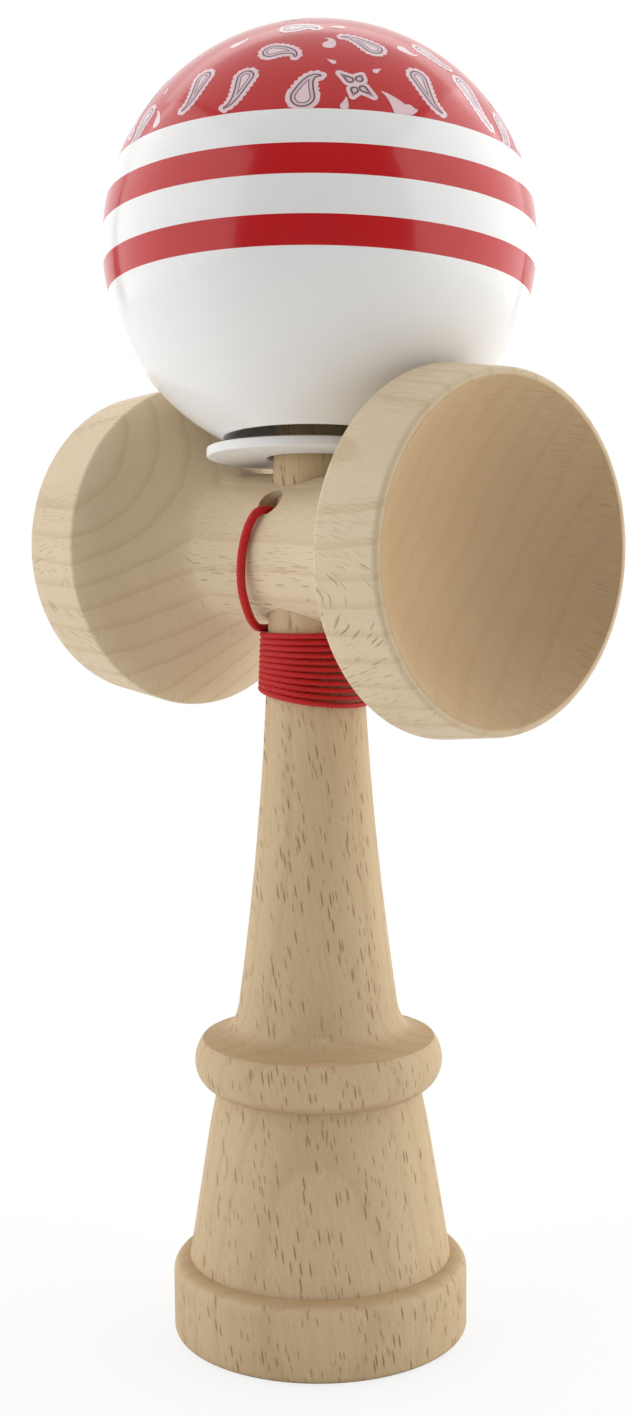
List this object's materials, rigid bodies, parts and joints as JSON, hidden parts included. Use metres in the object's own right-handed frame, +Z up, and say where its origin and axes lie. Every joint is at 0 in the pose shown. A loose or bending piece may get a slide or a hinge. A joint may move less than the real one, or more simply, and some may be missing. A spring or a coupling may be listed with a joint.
{
  "type": "kendama",
  "caption": "Wooden kendama: turned handle with spike and base cup, cross-piece with big and small cups, lacquered ball on a wound string, and a loose spacer washer under the ball.",
  "frame": {"origin": "centre of the handle's base rim, on the surface that the kendama stands on", "axes": "+Z up along the handle to the spike and ball, +X along the cross-piece towards its big cup, the string hole faces -Y"},
  "size_m": [0.0747, 0.06, 0.1864],
  "materials": {
    "ken_wood": "bare sanded beech, grain along the handle",
    "sarado_wood": "bare sanded beech, grain along the cross-piece",
    "tama_lacquer": "wood under gloss white lacquer with two red bands and a red paisley print on top",
    "bead_plastic": "glossy bead",
    "washer_white": "soft white sheet",
    "string_red": "braided red string with a slight sheen"
  },
  "bodies": {
    "ken_body": {"ken": "ken_wood", "sarado": "sarado_wood", "anchor_knot": "string_red", "string_loop": "string_red", "string_winding": "string_red", "string_riser": "string_red"},
    "washer_body": {"spacer_washer": "washer_white"},
    "bead_body": {"tama_bead": "bead_plastic", "bead_knot": "string_red"},
    "tama_body": {"tama": "tama_lacquer"}
  },
  "joints": [
    {"name": "tama_lift", "type": "slide", "parent": "ken_body", "child": "bead_body", "axis": [0, 0, 1], "range_m": [0, 0.045], "deforming": ["string_riser"]},
    {"name": "tama_spin", "type": "hinge", "parent": "bead_body", "child": "tama_body", "pos_m": [0.0007, 0.0008, 0.15548], "axis": [-0.0906, 0.1079, 0.99], "continuous": true},
    {"name": "washer_spin", "type": "hinge", "parent": "ken_body", "child": "washer_body", "pos_m": [-0.0001, 0.00012, 0.12756], "axis": [-0.0694, 0.0827, 0.9942], "continuous": true}
  ]
}
